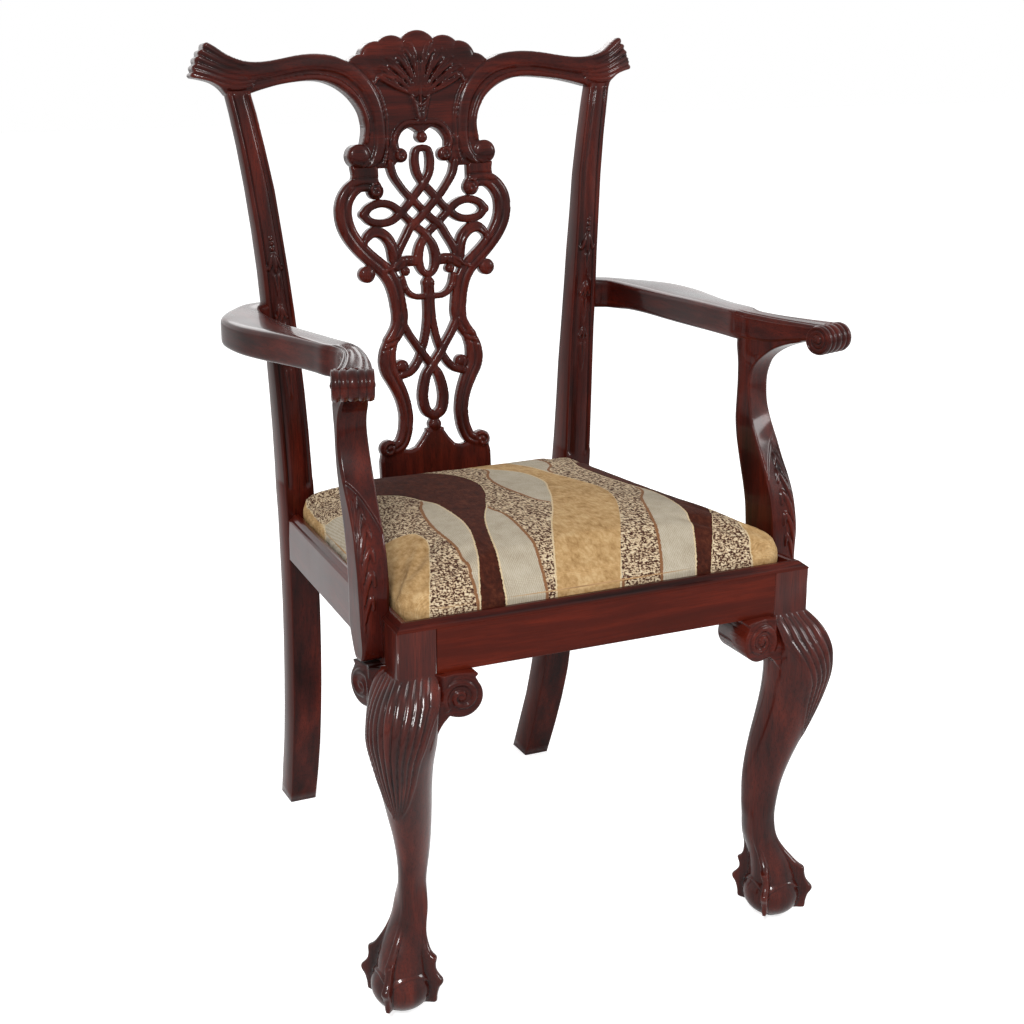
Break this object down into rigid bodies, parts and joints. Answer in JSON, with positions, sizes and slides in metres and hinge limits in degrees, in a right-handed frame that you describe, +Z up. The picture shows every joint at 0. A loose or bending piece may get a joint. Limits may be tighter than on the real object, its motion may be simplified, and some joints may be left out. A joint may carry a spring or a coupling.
{
  "type": "armchair",
  "caption": "Carved mahogany dining armchair with a pierced ribbon back, curved open arms, cabriole front legs on claw-and-ball feet, and a lift-out upholstered seat.",
  "frame": {"origin": "on the floor, under the middle of the chair's box", "axes": "+Z up, the sitter faces -Y, +X to the viewer's right when the chair is seen from the front"},
  "size_m": [0.618, 0.635, 1.0351],
  "materials": {
    "mahogany": "polished dark red mahogany",
    "beech": "plain planed beech",
    "steel": "bright steel",
    "jute": "woven jute webbing",
    "padding": "felted padding",
    "cover_cloth": "woven upholstery cloth with winding bands of tan, brown and silver",
    "dust_cloth": "thin black lining cloth"
  },
  "bodies": {
    "frame": {"rear_post_left": "mahogany", "rear_post_right": "mahogany", "crest_rail": "mahogany", "splat": "mahogany", "splat_shoe": "mahogany", "rear_rail": "mahogany", "front_rail": "mahogany", "side_rail_left": "mahogany", "side_rail_right": "mahogany", "seat_moulding_front": "mahogany", "seat_moulding_left": "mahogany", "seat_moulding_right": "mahogany", "front_leg_left": "mahogany", "front_leg_right": "mahogany", "knee_bracket_front_left": "mahogany", "knee_bracket_front_right": "mahogany", "knee_bracket_side_left": "mahogany", "knee_bracket_side_right": "mahogany", "arm_left": "mahogany", "arm_right": "mahogany", "arm_support_left": "mahogany", "arm_support_right": "mahogany", "corner_block_front_left": "beech", "corner_block_front_right": "beech", "corner_block_rear_left": "beech", "corner_block_rear_right": "beech", "corner_block_screws": "steel", "arm_support_screws": "steel", "arm_dowels": "beech"},
    "drop_in_seat": {"seat_frame_front": "beech", "seat_frame_back": "beech", "seat_frame_left": "beech", "seat_frame_right": "beech", "seat_webbing": "jute", "seat_pad": "padding", "seat_cover": "cover_cloth", "seat_dust_cover": "dust_cloth", "seat_tacks": "steel"}
  },
  "joints": [
    {"name": "seat_lift", "type": "slide", "parent": "frame", "child": "drop_in_seat", "axis": [0, 0, 1], "range_m": [0, 0.16]}
  ]
}
